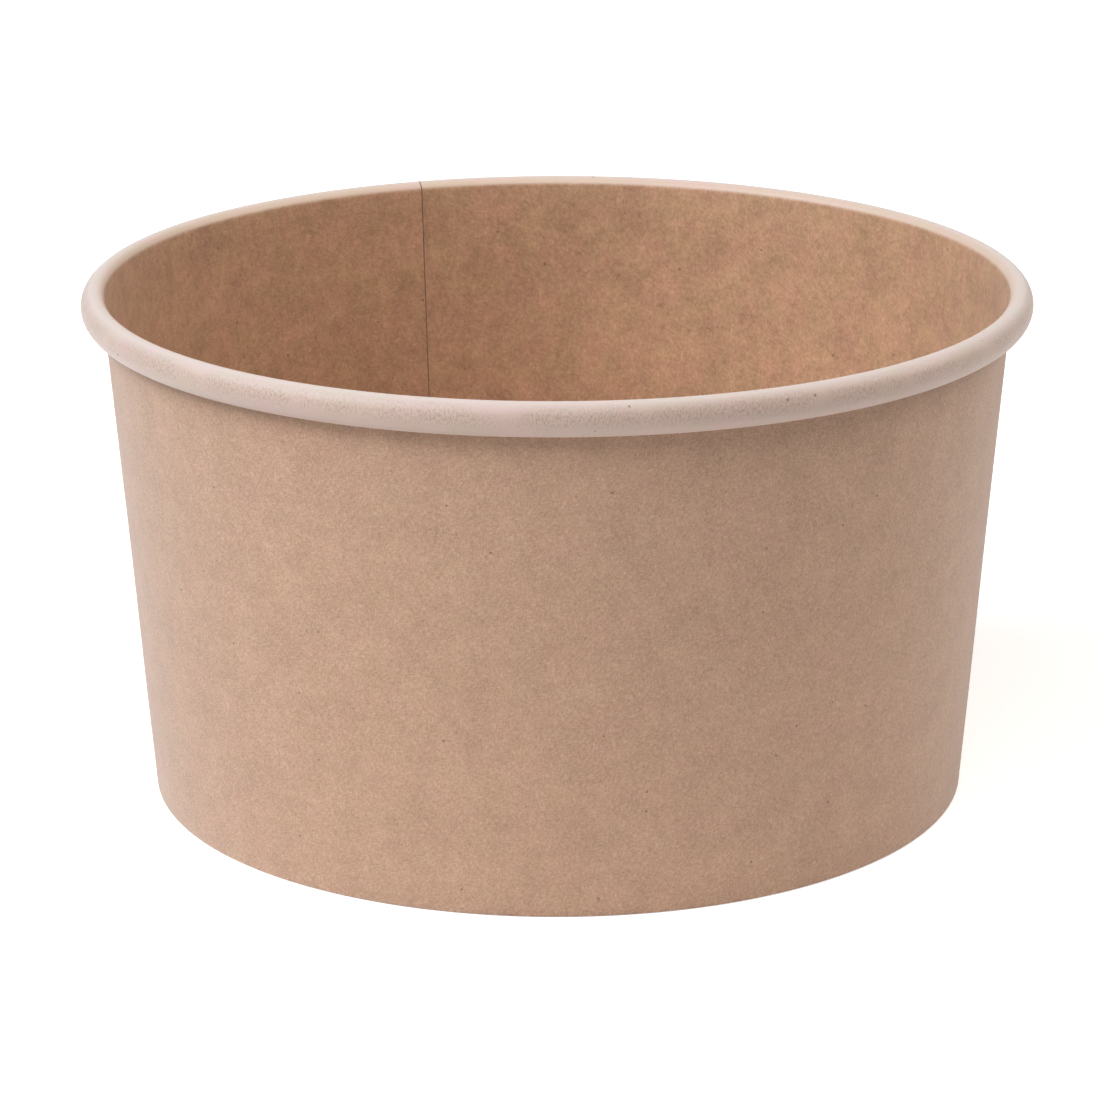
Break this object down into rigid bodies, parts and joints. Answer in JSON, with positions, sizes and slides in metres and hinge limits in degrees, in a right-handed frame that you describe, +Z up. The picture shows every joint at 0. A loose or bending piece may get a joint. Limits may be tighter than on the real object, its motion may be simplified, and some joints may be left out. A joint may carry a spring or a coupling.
{
  "type": "kraft salad bowl",
  "caption": "Open round disposable bowl of brown kraft board, tapered, with a lapped side seam, an outward rolled rim and a recessed base, for salads and other food.",
  "frame": {"origin": "centre of the foot, on the table that the bowl stands on", "axes": "+Z up along the bowl's axis through the open rim, +X to the right and +Y away from the viewer of the picture; the side seam lies at the back, a little left of +Y"},
  "size_m": [0.148, 0.148, 0.081],
  "materials": {
    "kraft_wall": "matte",
    "kraft_base": "matte"
  },
  "bodies": {
    "root": {"side_wall": "kraft_wall", "base_disc": "kraft_base"}
  },
  "joints": []
}
